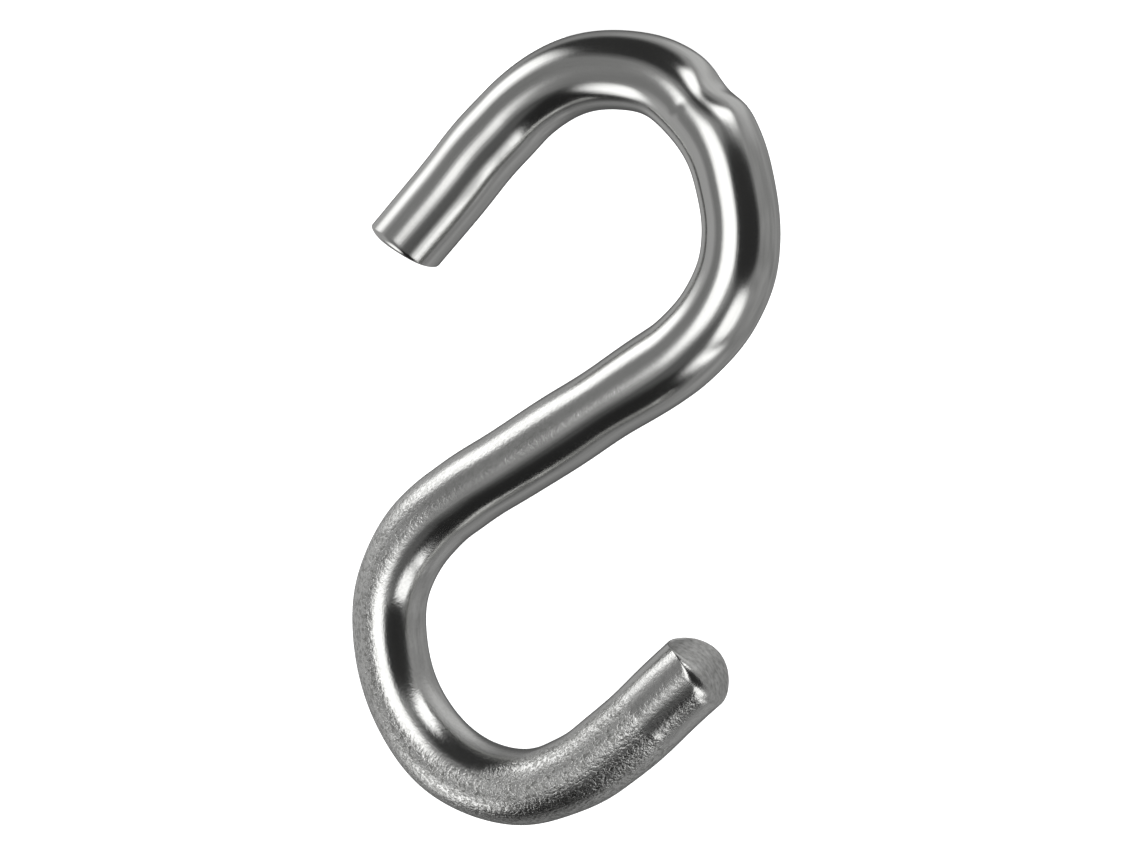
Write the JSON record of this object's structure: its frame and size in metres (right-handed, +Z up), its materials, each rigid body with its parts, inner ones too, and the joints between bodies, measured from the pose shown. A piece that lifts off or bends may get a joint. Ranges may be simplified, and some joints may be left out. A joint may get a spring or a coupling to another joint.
{
  "type": "meat hook",
  "caption": "Plain S-shaped hook bent from round steel bar: the upper bend hangs over a rail and the lower bend carries meat.",
  "frame": {"origin": "centre of the upper bend, on the axis of the largest rail that fits, in the mid-plane of the bar", "axes": "+Z up along the line of pull through both bend centres; +X from the line of pull towards the lower leg's tip; +Y along the rail, across the bar, away from the viewer who sees an S with its upper tip on the left"},
  "size_m": [0.0497, 0.008, 0.0818],
  "materials": {
    "steel": "bright zinc-plated or polished steel with faint drawing lines, fine speckle and bender marks"
  },
  "bodies": {
    "root": {"hook": "steel"}
  },
  "joints": []
}
